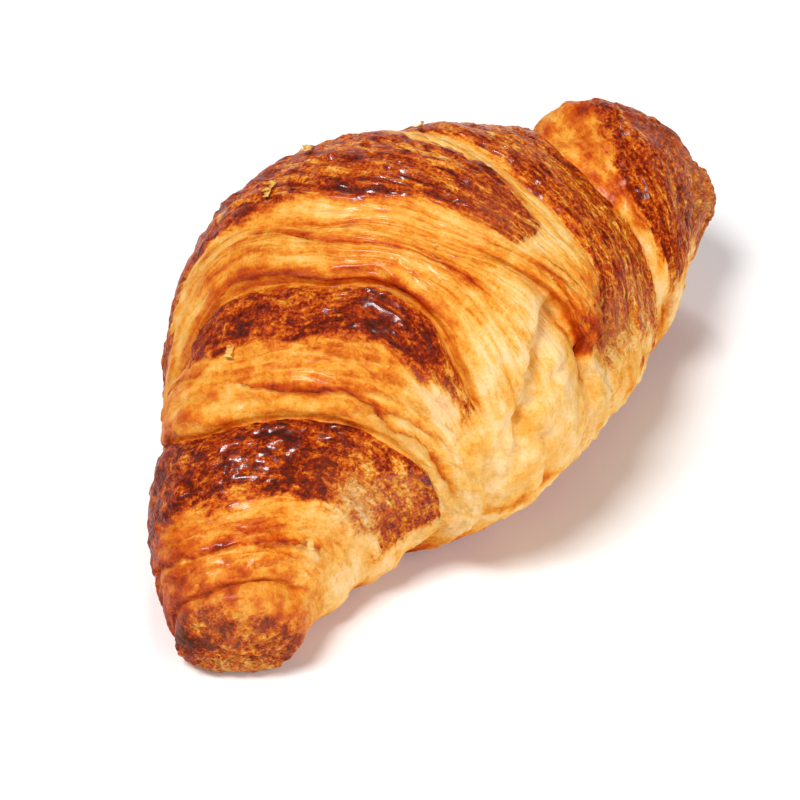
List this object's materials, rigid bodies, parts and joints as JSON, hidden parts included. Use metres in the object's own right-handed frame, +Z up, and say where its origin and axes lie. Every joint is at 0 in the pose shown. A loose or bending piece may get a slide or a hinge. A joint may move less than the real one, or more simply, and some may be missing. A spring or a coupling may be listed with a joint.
{
  "type": "croissant",
  "caption": "Baked butter croissant, whole, bent to a slight crescent, resting on its flat bottom.",
  "frame": {"origin": "centre of the bounding box's bottom face, on the surface that the croissant rests on", "axes": "+X along the roll to the far tip, +Y to its full back, +Z up"},
  "size_m": [0.1558, 0.0886, 0.066],
  "materials": {
    "crust": "satin"
  },
  "bodies": {
    "root": {"croissant": "crust"}
  },
  "joints": []
}
